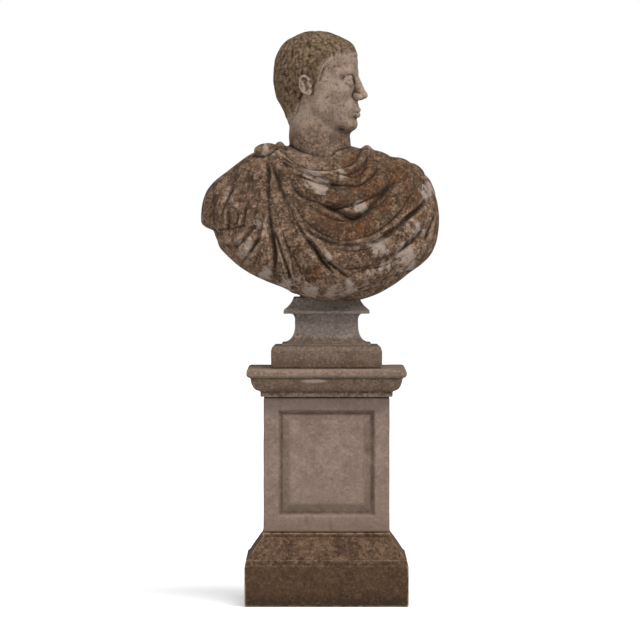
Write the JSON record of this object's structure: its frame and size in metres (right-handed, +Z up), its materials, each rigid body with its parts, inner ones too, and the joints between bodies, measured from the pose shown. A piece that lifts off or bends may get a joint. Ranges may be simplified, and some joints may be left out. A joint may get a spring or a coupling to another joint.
{
  "type": "bust on pedestal",
  "caption": "Weathered cast stone bust of a draped classical man on a square waisted socle and a panelled square pedestal, for gardens.",
  "frame": {"origin": "centre of the pedestal's underside, on the ground", "axes": "+Z up, -Y the way the chest and the pedestal's front face look, +X the side that the head is turned to"},
  "size_m": [0.6022, 0.422, 1.4498],
  "materials": {
    "bust_stone": "weathered cast stone with brown and rust lichen",
    "socle_stone": "grey weathered cast stone with brown patches",
    "cap_stone": "brown weathered cast stone with pale lichen",
    "die_stone": "smooth cast stone, lightly weathered",
    "base_stone": "dark brown weathered cast stone, dirty at the foot"
  },
  "bodies": {
    "root": {"bust": "bust_stone", "bust_socle": "socle_stone", "pedestal_cap": "cap_stone", "pedestal_die": "die_stone", "pedestal_base": "base_stone"}
  },
  "joints": []
}
